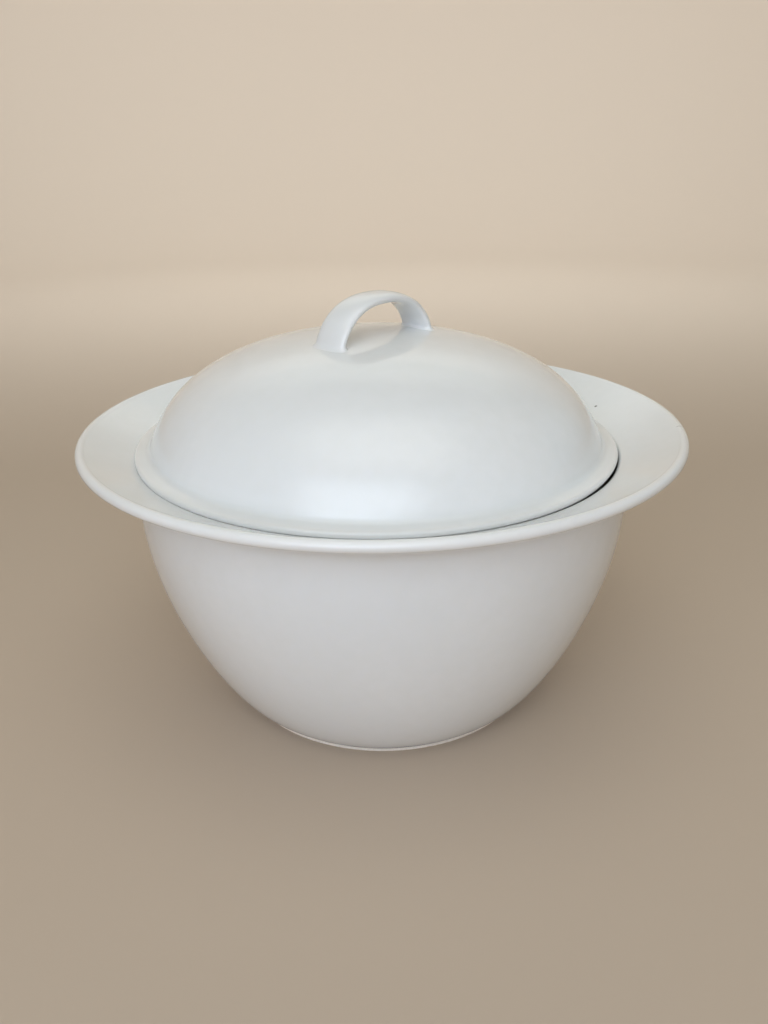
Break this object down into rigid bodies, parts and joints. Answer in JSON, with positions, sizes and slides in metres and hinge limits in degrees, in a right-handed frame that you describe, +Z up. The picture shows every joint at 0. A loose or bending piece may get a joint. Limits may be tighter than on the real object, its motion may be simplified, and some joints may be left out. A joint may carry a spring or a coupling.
{
  "type": "covered serving dish",
  "caption": "Round glazed porcelain covered dish: bowl with a wide flared rim and a foot ring, and a lift-off domed lid with a strap handle.",
  "frame": {"origin": "on the table, under the bowl's axis", "axes": "+Z up along the bowl's axis, +X along the span of the lid's handle"},
  "size_m": [0.2782, 0.2782, 0.1951],
  "materials": {
    "bowl_glaze": "glossy white glaze, bare on the foot ring's underside",
    "lid_glaze": "glossy white glaze",
    "handle_glaze": "glossy white glaze"
  },
  "bodies": {
    "bowl": {"bowl": "bowl_glaze"},
    "lid": {"lid": "lid_glaze", "lid_handle": "handle_glaze"}
  },
  "joints": [
    {"name": "lid_lift", "type": "slide", "parent": "bowl", "child": "lid", "axis": [0, 0, 1], "range_m": [0, 0.12]}
  ]
}
